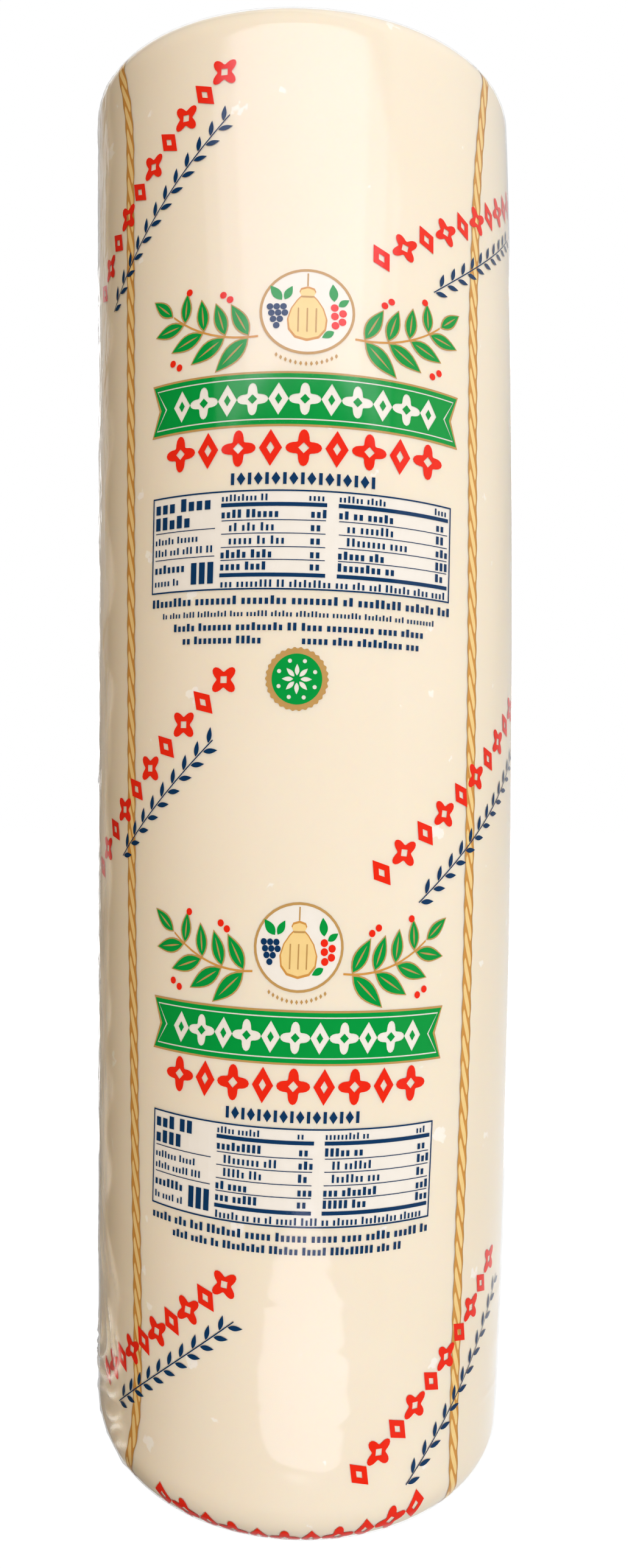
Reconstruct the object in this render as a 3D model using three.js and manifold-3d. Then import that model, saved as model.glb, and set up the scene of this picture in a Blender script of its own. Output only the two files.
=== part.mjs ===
// A whole provolone log in its shrunk clear bag: one shut pack, standing on one end.
// Millimetres, +Z up along the log, printed side towards -Y, base at z = 0.
import * as THREE from 'three';
import { mergeVertices } from 'three/addons/utils/BufferGeometryUtils.js';
import Module from 'manifold-3d';

const wasm = await Module();
wasm.setup();

// The log. Its left side (-X) is straight, and the right side carries all of the barrel.
const RADIUS = 64;          // at the widest ring
const HEIGHT = 410;         // base to top end, on the axis
const WIDEST_Z = 265;       // height of the widest ring
const TOP_TAPER = 0.018;    // share of the radius lost at the top end
const BASE_TAPER = 0.047;   // share of the radius lost at the base
const TAPER_POWER = 2.2;    // how late the taper sets in, away from the widest ring

// The top end is cut on a slant, which dies out down the wall.
const SLANT_X = -0.03;      // rise per millimetre towards +X
const SLANT_Y = 0.11;       // rise per millimetre towards +Y
const SLANT_FROM_Z = 300;   // the wall below this height is upright

// Rounded rims, where the swing adds to the mean at +X and takes off at -X.
const BASE_RIM = 14;
const BASE_RIM_SWING = -4.5;
const TOP_RIM = 8;
const TOP_RIM_SWING = -1;

// The ends: film drawn in to the middle in radial pleats, and a heat-sealed tail across.
const DISH_RADIUS = 34;     // shallow hollow of the base, inside the flat ring it stands on
const DISH_DEPTH = 1.8;
const PLEATS = 24;
const TOP_PLEAT = 0.9;      // height of a pleat
const BASE_PLEAT = 0.9;
const SEAL_AZIMUTH = THREE.MathUtils.degToRad(102);
const TAIL_WIDTH = 10;
const TOP_TAIL_LENGTH = 92;
const BASE_TAIL_LENGTH = 58;
const TAIL_STAND = 0.9;     // how far a tail stands out of the end it lies on
const TAIL_ROOT = 1.2;      // how deep it is sunk in, so that it joins the log
const TAIL_SWAY = 2.5;      // its edge wanders this far off a straight line

// Facets
const AROUND = 96;
const WALL_RINGS = 14;
const RIM_STEPS = 6;
const TAIL_STEPS = 24;
const DISH_SHARES = [0.2, 0.42, 0.64, 0.84];
const TOP_SHARES = [0.9, 0.76, 0.6, 0.44, 0.28, 0.14];

function smoothstep(t) {
  const s = THREE.MathUtils.clamp(t, 0, 1);
  return s * s * (3 - 2 * s);
}

// Share of the full radius that the wall keeps at height z.
function girth(z) {
  const up = Math.max(z - WIDEST_Z, 0) / (HEIGHT - WIDEST_Z);
  const down = Math.max(WIDEST_Z - z, 0) / WIDEST_Z;
  return 1 - TOP_TAPER * up ** TAPER_POWER - BASE_TAPER * down ** TAPER_POWER;
}

function slantRise(x, y) {
  return SLANT_X * x + SLANT_Y * y;
}

// Azimuth 0 is the front, -Y, and it grows towards +X.
function placed(radius, z, azimuth) {
  const share = girth(z);
  const x = radius * share * Math.sin(azimuth) - RADIUS * (1 - share);
  const y = -radius * share * Math.cos(azimuth);
  const lean = smoothstep((z - SLANT_FROM_Z) / (HEIGHT - SLANT_FROM_Z));
  return [x, y, z + lean * slantRise(x, y)];
}

// Height of the gathered film, from 0 between two pleats to 1 on a crest.
function pleat(azimuth, share) {
  const wander = 0.9 * Math.sin(3 * azimuth + 0.6) + 0.6 * Math.sin(5 * azimuth + 2.1);
  const crest = 0.5 + 0.5 * Math.cos(PLEATS * azimuth + wander);
  return crest * crest * Math.sin(Math.PI * share);
}

function baseRim(azimuth) {
  return BASE_RIM + BASE_RIM_SWING * Math.sin(azimuth);
}

function topRim(azimuth) {
  return TOP_RIM + TOP_RIM_SWING * Math.sin(azimuth);
}

// One function of azimuth for each ring, from the middle of the base to the top's.
function ringLaws() {
  const dish = DISH_SHARES.map((share) => (azimuth) => {
    const hollow = DISH_DEPTH * (1 - smoothstep(share)) ** 0.5;
    const z = hollow - Math.min(BASE_PLEAT * pleat(azimuth, share), hollow * 0.8);
    return [DISH_RADIUS * share, z];
  });
  const standing = [
    () => [DISH_RADIUS, 0],
    (azimuth) => [RADIUS - baseRim(azimuth), 0],
  ];
  const lowerRim = [];
  const upperRim = [];
  for (let step = 1; step <= RIM_STEPS; step += 1) {
    const turn = (step / RIM_STEPS) * (Math.PI / 2);
    lowerRim.push((azimuth) => {
      const rim = baseRim(azimuth);
      return [RADIUS - rim + rim * Math.sin(turn), rim - rim * Math.cos(turn)];
    });
    upperRim.push((azimuth) => {
      const rim = topRim(azimuth);
      return [RADIUS - rim + rim * Math.cos(turn), HEIGHT - rim + rim * Math.sin(turn)];
    });
  }
  const wall = [];
  for (let step = 1; step <= WALL_RINGS; step += 1) {
    wall.push((azimuth) => {
      const low = baseRim(azimuth);
      const high = HEIGHT - topRim(azimuth);
      return [RADIUS, low + ((high - low) * step) / WALL_RINGS];
    });
  }
  const top = TOP_SHARES.map((share) => (azimuth) => {
    const reach = RADIUS - topRim(azimuth);
    return [reach * share, HEIGHT + TOP_PLEAT * pleat(azimuth, share)];
  });
  return [...dish, ...standing, ...lowerRim, ...wall, ...upperRim, ...top];
}

// Closed skin of the log: rings of points, with one point in the middle of each end.
function logGeometry() {
  const laws = ringLaws();
  const points = [placed(0, DISH_DEPTH, 0)];
  for (const law of laws) {
    for (let i = 0; i < AROUND; i += 1) {
      const azimuth = (i / AROUND) * 2 * Math.PI;
      points.push(placed(...law(azimuth), azimuth));
    }
  }
  points.push(placed(0, HEIGHT, 0));
  const topMiddle = points.length - 1;
  const at = (ring, i) => 1 + ring * AROUND + (i % AROUND);
  const faces = [];
  for (let i = 0; i < AROUND; i += 1) {
    faces.push(0, at(0, i + 1), at(0, i));
    for (let ring = 0; ring + 1 < laws.length; ring += 1) {
      faces.push(at(ring, i), at(ring, i + 1), at(ring + 1, i + 1));
      faces.push(at(ring, i), at(ring + 1, i + 1), at(ring + 1, i));
    }
    faces.push(at(laws.length - 1, i), at(laws.length - 1, i + 1), topMiddle);
  }
  const geometry = new THREE.BufferGeometry();
  geometry.setAttribute('position', new THREE.Float32BufferAttribute(points.flat(), 3));
  geometry.setIndex(faces);
  return geometry;
}

// A flat tail of sealed film along the seal's azimuth. endZ(x, y) is the height of the end
// it lies on, and outward is +1 on the top end and -1 on the base.
function tailGeometry(length, outward, endZ) {
  const depth = TAIL_STAND + TAIL_ROOT;
  const geometry = new THREE.BoxGeometry(length, TAIL_WIDTH, depth, TAIL_STEPS, 1, 1);
  const along = [Math.sin(SEAL_AZIMUTH), -Math.cos(SEAL_AZIMUTH)];
  const place = geometry.attributes.position;
  for (let i = 0; i < place.count; i += 1) {
    const share = place.getX(i) / length;
    const taper = 1 - 0.55 * Math.abs(2 * share) ** 3;
    const across = place.getY(i) * taper + TAIL_SWAY * Math.sin(2 * Math.PI * share + 0.5);
    const x = along[0] * place.getX(i) - along[1] * across;
    const y = along[1] * place.getX(i) + along[0] * across;
    const middle = endZ(x, y) + (outward * (TAIL_STAND - TAIL_ROOT)) / 2;
    place.setXYZ(i, x, y, middle + place.getZ(i));
  }
  return geometry;
}

function toManifold(geometry) {
  const bare = geometry.clone();
  bare.deleteAttribute('normal');
  bare.deleteAttribute('uv');
  const merged = mergeVertices(bare, 1e-4);
  return new wasm.Manifold(new wasm.Mesh({
    numProp: 3,
    vertProperties: new Float32Array(merged.attributes.position.array),
    triVerts: new Uint32Array(merged.index.array),
  }));
}

function toGeometry(manifold) {
  const mesh = manifold.getMesh();
  const geometry = new THREE.BufferGeometry();
  geometry.setAttribute('position', new THREE.Float32BufferAttribute(mesh.vertProperties, 3));
  geometry.setIndex(Array.from(mesh.triVerts));
  geometry.computeVertexNormals();
  return geometry;
}

const topTail = tailGeometry(TOP_TAIL_LENGTH, 1, (x, y) => HEIGHT + slantRise(x, y));
const baseTail = tailGeometry(BASE_TAIL_LENGTH, -1, () => DISH_DEPTH * 0.7);

const pack = toManifold(logGeometry())
  .add(toManifold(topTail))
  .add(toManifold(baseTail));

const wrapped = new THREE.MeshStandardMaterial({
  name: 'cheese_in_clear_film',
  color: 0xf6e9cf,
  roughness: 0.25,
  metalness: 0,
});

const wrappedLog = new THREE.Mesh(toGeometry(pack), wrapped);
wrappedLog.name = 'wrapped_log';

const model = new THREE.Group();
model.name = 'provolone_log_pack';
model.add(wrappedLog);

export default model;
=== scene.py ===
import math

import bpy
import numpy as np
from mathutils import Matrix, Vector


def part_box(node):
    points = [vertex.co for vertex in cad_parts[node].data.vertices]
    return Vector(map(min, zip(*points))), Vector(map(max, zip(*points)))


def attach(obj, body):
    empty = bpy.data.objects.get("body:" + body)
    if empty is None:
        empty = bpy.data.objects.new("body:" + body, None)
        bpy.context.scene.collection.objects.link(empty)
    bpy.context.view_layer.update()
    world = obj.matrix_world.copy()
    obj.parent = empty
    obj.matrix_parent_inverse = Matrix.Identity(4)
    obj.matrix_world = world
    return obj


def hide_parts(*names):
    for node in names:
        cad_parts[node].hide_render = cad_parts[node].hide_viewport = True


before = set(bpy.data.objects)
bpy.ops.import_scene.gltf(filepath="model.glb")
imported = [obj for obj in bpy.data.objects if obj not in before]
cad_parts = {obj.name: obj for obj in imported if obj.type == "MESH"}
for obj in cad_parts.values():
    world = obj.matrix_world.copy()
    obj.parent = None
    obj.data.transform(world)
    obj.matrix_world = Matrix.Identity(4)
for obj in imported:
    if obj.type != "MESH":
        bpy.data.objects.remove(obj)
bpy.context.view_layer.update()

MM = 0.001
LOG = "wrapped_log"

# The log, by the same sizes as the solid it stands for
cad_width = (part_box(LOG)[1][0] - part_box(LOG)[0][0]) / MM
RADIUS = cad_width / 2
HEIGHT = 410
WIDEST_Z = 265
TOP_TAPER = 0.018
BASE_TAPER = 0.047
TAPER_POWER = 2.2
SLANT_X = -0.03
SLANT_Y = 0.11
SLANT_FROM_Z = 300
BASE_RIM = 14
BASE_RIM_SWING = -4.5
TOP_RIM = 8
TOP_RIM_SWING = -1
DISH_RADIUS = 34
DISH_DEPTH = 1.8
PLEATS = 24
PLEAT_HEIGHT = 0.9
FOLDS_TOP = 85                        # below this the film is folded, and its mesh is finer
HALF_TURN = math.pi * RADIUS

# How far each skin lies off the solid's face, from the film inwards
FILM_LIFT = -0.05
NAVY_LIFT = -0.10
RED_LIFT = -0.13
GREEN_LIFT = -0.16
GOLD_LIFT = -0.19
ROPE_LIGHT_LIFT = -0.22
ROPE_DARK_LIFT = -0.25
WHITE_LIFT = -0.28
INK_THICKNESS = 0.012
CHEESE_LIFT = -0.32


def smoothstep(share):
    clipped = np.clip(share, 0, 1)
    return clipped * clipped * (3 - 2 * clipped)


def girth(z):
    up = np.maximum(z - WIDEST_Z, 0) / (HEIGHT - WIDEST_Z)
    down = np.maximum(WIDEST_Z - z, 0) / WIDEST_Z
    return 1 - TOP_TAPER * up**TAPER_POWER - BASE_TAPER * down**TAPER_POWER


def placed(radius, z, azimuth):
    """Points in metres. Azimuth 0 is the front, -Y, and it grows towards +X."""
    share = girth(z)
    x = radius * share * np.sin(azimuth) - RADIUS * (1 - share)
    y = -radius * share * np.cos(azimuth)
    lean = smoothstep((z - SLANT_FROM_Z) / (HEIGHT - SLANT_FROM_Z))
    return np.stack([x, y, z + lean * (SLANT_X * x + SLANT_Y * y)], axis=1) * MM


def base_rim(azimuth):
    return BASE_RIM + BASE_RIM_SWING * np.sin(azimuth)


def top_rim(azimuth):
    return TOP_RIM + TOP_RIM_SWING * np.sin(azimuth)


def pleat(azimuth, share):
    wander = 0.9 * np.sin(3 * azimuth + 0.6) + 0.6 * np.sin(5 * azimuth + 2.1)
    crest = 0.5 + 0.5 * np.cos(PLEATS * azimuth + wander)
    return crest**2 * np.sin(math.pi * np.clip(share, 0, 1))


def skin(azimuth, v, lift, gathered=1.0):
    """Where a point of the unrolled skin lies: v is the height on the wall, and runs on round
    the rims and in to the middle of each end. lift is how far it stands off the face, and
    gathered is 1 for film, which lies in pleats over the ends, and 0 for what is under it."""
    low, high = base_rim(azimuth), top_rim(azimuth)
    quarter = math.pi / 2
    below = np.maximum(low - v, 0)
    above = np.maximum(v - (HEIGHT - high), 0)
    down = np.minimum(below / low, quarter)
    up = np.minimum(above / high, quarter)
    inward = np.maximum(below - low * quarter, 0) + np.maximum(above - high * quarter, 0)
    rim = np.where(v < HEIGHT / 2, low, high)
    turn = np.maximum(down, up)
    radius = RADIUS - rim + (rim + lift) * np.cos(turn) - inward
    z = np.where(
        v < HEIGHT / 2,
        np.where(down > 0, low - (low + lift) * np.sin(down), v),
        np.where(up > 0, HEIGHT - high + (high + lift) * np.sin(up), v),
    )
    radius = np.maximum(np.where(turn >= quarter, RADIUS - rim - inward, radius), 0)
    dish = radius / DISH_RADIUS
    hollow = DISH_DEPTH * (1 - smoothstep(dish)) ** 0.5
    rise = gathered * PLEAT_HEIGHT
    hollow = hollow - np.minimum(rise * pleat(azimuth, dish), hollow * 0.8) - lift
    crown = rise * pleat(azimuth, radius / (RADIUS - high)) + lift
    z = z + np.where(down >= quarter, hollow, 0) + np.where(up >= quarter, crown, 0)
    return placed(radius, z, azimuth)


def unrolled(share, azimuth):
    """The unrolled height of a share of the way from the middle of the base to the top's."""
    low, high = base_rim(azimuth), top_rim(azimuth)
    quarter = math.pi / 2
    base_edge, top_edge = low - low * quarter, HEIGHT - high + high * quarter
    stations = [base_edge - (RADIUS - low), base_edge, low, FOLDS_TOP, HEIGHT - high, top_edge,
                top_edge + RADIUS - high]
    shares = [0, 0.09, 0.14, 0.48, 0.86, 0.90, 1]
    v = np.zeros_like(azimuth)
    for i in range(len(shares) - 1):
        part = np.clip((share - shares[i]) / (shares[i + 1] - shares[i]), 0, 1)
        here = (share >= shares[i]) & (share <= shares[i + 1])
        v = np.where(here, stations[i] * (1 - part) + stations[i + 1] * part, v)
    return v


# The film's own folds, all of them outwards from the print
SLACK_SIDE = math.radians(-100)       # middle of the side where the film is slack
SLACK_HALF = math.radians(40)
SLACK_HALF_MORE = math.radians(10)    # added to that near the base
SLACK_RAGGED = math.radians(1.6)
SLACK_EDGE = math.radians(2.5)
MESH_SIDE = math.radians(-90)         # where the mesh's columns stand closest together
MESH_CROWDING = 0.68                  # and by how much
SWAG_PITCH = 6.6                      # from one hanging fold to the next, near the base
SWAG_U = -66                          # where round the log they hang lowest
SOFT_HEIGHT = 0.03
CRINKLE_HEIGHT = 0.07
UPRIGHT_FOLD_HEIGHT = 0.12
CREASE_HEIGHT = 0.14
CURTAIN_HEIGHT = 0.45
BOW_WIDTH = 1.0
BOW_STEPS = 24
# Single folds low down on the left, each a bow from one end over a middle to the other, in
# millimetres round the log and up it
BOWS = (((-72.5, 20.4), (-64.0, 18.6), (-58.2, 26.0)),
        ((-68.2, 15.0), (-63.0, 21.0), (-57.6, 21.6)),
        ((-66.8, 11.4), (-60.0, 17.0), (-53.8, 17.6)),
        ((-67.2, 44.5), (-62.6, 40.0), (-61.6, 34.0)),
        ((-74.0, 35.4), (-69.0, 30.6), (-63.8, 32.4)),
        ((-70.0, 54.0), (-65.2, 48.0), (-64.6, 41.0)),
        ((-64.5, 8.0), (-58.0, 9.6), (-54.6, 14.5)),
        ((-70.5, 27.0), (-66.0, 25.0), (-60.5, 31.0)))


def waves(azimuth, v, seed, around, pitch, count=14):
    """Seeded unevenness about 1 high. around is how many waves go round the log, in whole
    numbers so that it meets itself, and pitch is millimetres to a wave along it."""
    draw = np.random.default_rng(seed)
    total = np.zeros_like(azimuth)
    for _ in range(count):
        turns = draw.integers(around[0], around[1])
        along = draw.choice([-1, 1]) * 2 * math.pi / draw.uniform(pitch[0], pitch[1])
        total += np.cos(turns * azimuth + along * v + draw.uniform(0, 2 * math.pi))
    return total * math.sqrt(2 / count)


def ridges(field, width):
    """Narrow ridges along the lines where a smooth field passes through nought."""
    return np.exp(-((field / width) ** 2))


def low_down(v):
    return smoothstep((80 - v) / 45)


def from_slack_side(azimuth):
    """The turn from the middle of the slack side, half a turn at the most to either side."""
    return np.angle(np.exp(1j * (azimuth - SLACK_SIDE)))


def round_slack_side(azimuth):
    """Millimetres round the log from the middle of the front, unbroken where film is slack."""
    return RADIUS * (SLACK_SIDE + from_slack_side(azimuth))


def slack(azimuth, v):
    """1 where the film is slack and crinkled: down one side, and wider near the base."""
    away = np.abs(from_slack_side(azimuth))
    reach = SLACK_HALF + SLACK_HALF_MORE * low_down(v)
    ragged = SLACK_RAGGED * waves(azimuth, v, 11, (0, 3), (18, 60))
    return smoothstep((reach + ragged - away) / SLACK_EDGE)


def swags(azimuth, v):
    """Folds that hang like a curtain's: steep where they start, and sweeping round the rim."""
    around = round_slack_side(azimuth) - SWAG_U
    slope = -0.35 + 2.1 * smoothstep((v - 20) / 24)
    across = (v + slope * around) / np.sqrt(1 + slope**2)
    across = across + 1.3 * waves(azimuth, v, 4, (2, 9), (30, 70))
    strength = np.clip(0.65 + 0.5 * waves(azimuth, v, 6, (2, 9), (20, 60)), 0.1, 1)
    return strength * ridges(np.sin(math.pi * across / SWAG_PITCH), 0.42)


def bows(azimuth, v):
    """The single folds, which thin out towards their ends."""
    fold = np.zeros_like(azimuth)
    around = round_slack_side(azimuth)
    for start, middle, end in BOWS:
        for share in np.linspace(0.04, 0.96, BOW_STEPS):
            spot = [a * (1 - share) ** 2 + b * 2 * share * (1 - share) + c * share**2
                    for a, b, c in zip(start, middle, end)]
            off = np.hypot(around - spot[0], v - spot[1])
            fold = np.maximum(fold, math.sin(math.pi * share) ** 0.5 * ridges(off, BOW_WIDTH))
    return fold


def on_wall(v):
    """Leaves the two ends out of the wall's folds."""
    return smoothstep((v + 14) / 12) * smoothstep((HEIGHT + 4 - v) / 8)


def on_ends(v):
    """1 on the two ends, where the film is gathered, and 0 on the wall."""
    return smoothstep((v - HEIGHT - 2) / 8) + smoothstep((-6 - v) / 8)


def towards_middle(v):
    """0 at an end's rim and 1 at its middle, where all the pleats meet."""
    return smoothstep((np.maximum(v - HEIGHT, -12 - v) - 22) / 26)


def relief(azimuth, v):
    """How far the film stands off the print, in millimetres: soft swells all over, fine and
    broad upright folds and the hanging ones where it is slack, and a few creases beside them."""
    loose = slack(azimuth, v)
    soft = SOFT_HEIGHT * np.clip(waves(azimuth, v, 1, (2, 8), (70, 260)) + 2, 0, 4)
    fine = CRINKLE_HEIGHT * ridges(waves(azimuth, v, 2, (30, 110), (16, 60)), 0.4)
    fine = fine * (1 + 1.6 * smoothstep((v - 330) / 25))
    broad = ridges(waves(azimuth + v / 170, v, 3, (8, 26), (40, 140)), 0.3)
    upright = (fine + UPRIGHT_FOLD_HEIGHT * broad) * (1 - 0.8 * low_down(v))
    curtain = CURTAIN_HEIGHT * np.maximum(swags(azimuth, v) * low_down(v), bows(azimuth, v))
    window = smoothstep((90 - v) / 30) * smoothstep((v - 4) / 20)
    creases = CREASE_HEIGHT * window * ridges(waves(azimuth, v, 5, (2, 8), (16, 50), 6), 0.4)
    return on_wall(v) * (soft + loose * (upright + curtain) + creases * (1 - loose))


def haze_and_painted_highlight(azimuth, v):
    """How milky the film is, from 0 where it clings to 1 where air lies under it. Down the slack
    side this white is partly a painted reflection of the pale room, and along the fold crests it
    is partly a painted highlight.
    """
    streaks = np.clip(0.5 + 0.5 * waves(azimuth, v, 21, (10, 60), (20, 160)), 0, 1)
    streaks = streaks * (1 - 0.8 * low_down(v))
    # painted highlight: narrow white along the fold crests, on top of their milky bloom
    fold_bloom_and_highlight = 0.6 * low_down(v) * swags(azimuth, v) ** 3 + 0.95 * bows(azimuth, v) ** 3
    gathers = on_ends(v) * (0.05 + 0.3 * pleat(azimuth, 0.5) + 0.3 * towards_middle(v))
    return np.clip(slack(azimuth, v) * (0.06 + 0.2 * streaks + fold_bloom_and_highlight) + gathers, 0, 1)


# Materials
MIX_A = 6                             # a colour mix node's sockets: both its inputs
MIX_B = 7
MIX_RESULT = 2                        # and its output


def linear(hex_code):
    """Linear red, green and blue of an sRGB hex value."""
    shares = [int(hex_code[i:i + 2], 16) / 255 for i in (0, 2, 4)]
    return [s / 12.92 if s <= 0.04045 else ((s + 0.055) / 1.055) ** 2.4 for s in shares]


def colour(hex_code):
    return (*linear(hex_code), 1.0)


def add_node(tree, kind, links=(), **settings):
    """A node with its settings. links gives input sockets a value or another node's output."""
    made = tree.nodes.new(kind)
    for name, value in settings.items():
        setattr(made, name, value)
    for socket, source in dict(links).items():
        if isinstance(source, bpy.types.NodeSocket):
            tree.links.new(source, made.inputs[socket])
        else:
            made.inputs[socket].default_value = source
    return made


def new_material(name):
    made = bpy.data.materials.new(name)
    made.use_nodes = True
    made.node_tree.nodes.clear()
    output = add_node(made.node_tree, "ShaderNodeOutputMaterial")
    where = add_node(made.node_tree, "ShaderNodeTexCoord")
    return made, made.node_tree, output, where.outputs["Object"]


def per_metre(size_mm):
    """The scale of a texture whose pattern is size_mm across."""
    return 1 / (size_mm * MM)


CREAM = "F0E5D1"
CREAM_DEEP = "EDE1CA"
DRY_CREAM = "FCFAF4"
# the film's milky white, which on the slack side and the fold crests also serves as painted
# reflection and painted highlight
HAZE_AND_PAINTED_HIGHLIGHT_WHITE = "F4F2EE"


def provolone_cheese():
    """Pulled-curd cheese, moulded and brined: dense, ivory, faintly mottled, and lit a few
    millimetres deep, which softens its shading. Where a little air is caught under the film
    the rind stays dry and shows as a whitish blotch, mostly 1 to 4 mm across."""
    made, tree, output, where = new_material("provolone_cheese")
    clouds = add_node(tree, "ShaderNodeTexNoise",
                      {"Vector": where, "Scale": per_metre(34), "Detail": 3.0})
    grain = add_node(tree, "ShaderNodeTexNoise",
                     {"Vector": where, "Scale": per_metre(1.4), "Detail": 4.0})
    tone = add_node(tree, "ShaderNodeMix",
                    {"Factor": clouds.outputs["Fac"], MIX_A: colour(CREAM_DEEP),
                     MIX_B: colour(CREAM)},
                    data_type="RGBA")
    torn = add_node(tree, "ShaderNodeTexNoise",
                    {"Vector": where, "Scale": per_metre(2.4), "Detail": 3.0})
    frayed = add_node(tree, "ShaderNodeVectorMath",
                      {0: torn.outputs["Color"], "Scale": 6 * MM}, operation="SCALE")
    strewn = add_node(tree, "ShaderNodeVectorMath", {0: where, 1: frayed.outputs[0]},
                      operation="ADD")
    cells = add_node(tree, "ShaderNodeTexVoronoi",
                     {"Vector": strewn.outputs[0], "Scale": per_metre(13), "Randomness": 1.0})
    chance = add_node(tree, "ShaderNodeSeparateColor", {"Color": cells.outputs["Color"]})
    rare = add_node(tree, "ShaderNodeMath", {0: chance.outputs["Red"], 1: 5.0},
                    operation="POWER")
    reach = add_node(tree, "ShaderNodeMath", {0: rare.outputs[0], 1: 0.13, 2: 0.03},
                     operation="MULTIPLY_ADD")
    beyond = add_node(tree, "ShaderNodeMath",
                      {0: cells.outputs["Distance"], 1: reach.outputs[0]}, operation="SUBTRACT")
    marks = add_node(tree, "ShaderNodeMapRange",
                     {"Value": beyond.outputs[0], "From Min": 0.0, "From Max": 0.045,
                      "To Min": 0.6, "To Max": 0.0}, interpolation_type="SMOOTHSTEP")
    dry = add_node(tree, "ShaderNodeMix",
                   {"Factor": marks.outputs["Result"], MIX_A: tone.outputs[MIX_RESULT],
                    MIX_B: colour(DRY_CREAM)}, data_type="RGBA")
    bump = add_node(tree, "ShaderNodeBump",
                    {"Height": grain.outputs["Fac"], "Strength": 0.3, "Distance": 0.05 * MM})
    surface = add_node(tree, "ShaderNodeBsdfPrincipled", {
        "Base Color": dry.outputs[MIX_RESULT], "Roughness": 0.55, "IOR": 1.45,
        "Specular IOR Level": 0.15, "Subsurface Weight": 0.3,
        "Subsurface Radius": (1.0, 0.62, 0.3), "Subsurface Scale": 4 * MM,
        "Normal": bump.outputs["Normal"]})
    tree.links.new(surface.outputs["BSDF"], output.inputs["Surface"])
    return made


def shrink_film():
    """Clear co-extruded shrink bag, drawn tight: it shows only as gloss, with a faint orange
    peel, fine upright crinkles where it is slack and a milky bloom where it is folded. That white
    bloom is partly painted light: a painted reflection down the slack side and painted highlights
    along the fold crests."""
    made, tree, output, where = new_material("clear_shrink_film")
    peel = add_node(tree, "ShaderNodeTexNoise",
                    {"Vector": where, "Scale": per_metre(16), "Detail": 2.0})
    drawn = add_node(tree, "ShaderNodeMapping", {"Vector": where, "Scale": (1.0, 1.0, 0.3)})
    crinkle = add_node(tree, "ShaderNodeTexNoise",
                       {"Vector": drawn.outputs[0], "Scale": per_metre(4.5), "Detail": 4.0,
                        "Distortion": 0.8})
    loose = add_node(tree, "ShaderNodeAttribute", attribute_name="slack")
    # how milky the film is, partly painted reflection and painted highlight
    haze_and_highlight_amount = add_node(tree, "ShaderNodeAttribute", attribute_name="haze_and_painted_highlight")
    broad = add_node(tree, "ShaderNodeBump",
                     {"Height": peel.outputs["Fac"], "Strength": 1.0, "Distance": 0.06 * MM})
    crinkled = add_node(tree, "ShaderNodeMath",
                        {0: crinkle.outputs["Fac"], 1: loose.outputs["Fac"]},
                        operation="MULTIPLY")
    bump = add_node(tree, "ShaderNodeBump",
                    {"Height": crinkled.outputs[0], "Strength": 1.0, "Distance": 0.3 * MM,
                     "Normal": broad.outputs["Normal"]})
    facing = add_node(tree, "ShaderNodeLayerWeight",
                      {"Blend": 0.5, "Normal": bump.outputs["Normal"]})
    grazing = add_node(tree, "ShaderNodeMath",
                       {0: facing.outputs["Facing"], 1: 5.0}, operation="POWER")
    shine = add_node(tree, "ShaderNodeMath",
                     {0: grazing.outputs[0], 1: 0.96, 2: 0.04}, operation="MULTIPLY_ADD")
    clear = add_node(tree, "ShaderNodeBsdfTransparent")
    gloss = add_node(tree, "ShaderNodeBsdfGlossy",
                     {"Color": colour("FFFFFF"), "Roughness": 0.1,
                      "Normal": bump.outputs["Normal"]})
    white = add_node(tree, "ShaderNodeBsdfDiffuse",
                     {"Color": colour(HAZE_AND_PAINTED_HIGHLIGHT_WHITE), "Normal": bump.outputs["Normal"]})
    through = add_node(tree, "ShaderNodeBsdfTranslucent", {"Color": colour(HAZE_AND_PAINTED_HIGHLIGHT_WHITE)})
    cloud = add_node(tree, "ShaderNodeMixShader",
                     {0: 0.5, 1: white.outputs[0], 2: through.outputs[0]})
    clouded = add_node(tree, "ShaderNodeMixShader",
                       {0: haze_and_highlight_amount.outputs["Fac"], 1: clear.outputs[0], 2: cloud.outputs[0]})
    glossed = add_node(tree, "ShaderNodeMixShader",
                       {0: shine.outputs[0], 1: clouded.outputs[0], 2: gloss.outputs[0]})
    tree.links.new(glossed.outputs[0], output.inputs["Surface"])
    return made


def flexo_ink(name, hex_code, thin_hex):
    """Flexographic ink, trapped in the film: flat and dense, with the faint unevenness of a
    plate that presses a little harder in places, and no gloss but the film's."""
    made, tree, output, where = new_material(name)
    density = add_node(tree, "ShaderNodeTexNoise",
                       {"Vector": where, "Scale": per_metre(3), "Detail": 5.0})
    tone = add_node(tree, "ShaderNodeMix",
                    {"Factor": density.outputs["Fac"], MIX_A: colour(hex_code),
                     MIX_B: colour(thin_hex)}, data_type="RGBA")
    bump = add_node(tree, "ShaderNodeBump",
                    {"Height": density.outputs["Fac"], "Strength": 0.2, "Distance": 0.02 * MM})
    surface = add_node(tree, "ShaderNodeBsdfPrincipled", {
        "Base Color": tone.outputs[MIX_RESULT], "Roughness": 0.5, "Specular IOR Level": 0.03,
        "Normal": bump.outputs["Normal"]})
    tree.links.new(surface.outputs["BSDF"], output.inputs["Surface"])
    return made


# Modelling helpers
def deselect_all():
    bpy.ops.object.select_all(action="DESELECT")


def pick(piece):
    deselect_all()
    piece.select_set(True)
    bpy.context.view_layer.objects.active = piece


def points_of(piece):
    found = np.empty(len(piece.data.vertices) * 3)
    piece.data.vertices.foreach_get("co", found)
    return found.reshape(-1, 3)


def move_points(piece, places):
    piece.data.vertices.foreach_set("co", places.ravel())
    piece.data.update()


def dress(piece, made):
    piece.data.materials.clear()
    piece.data.materials.append(made)
    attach(piece, "root")


def set_amount(piece, name, values):
    piece.data.attributes.new(name, "FLOAT", "POINT").data.foreach_set("value", values)


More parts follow.
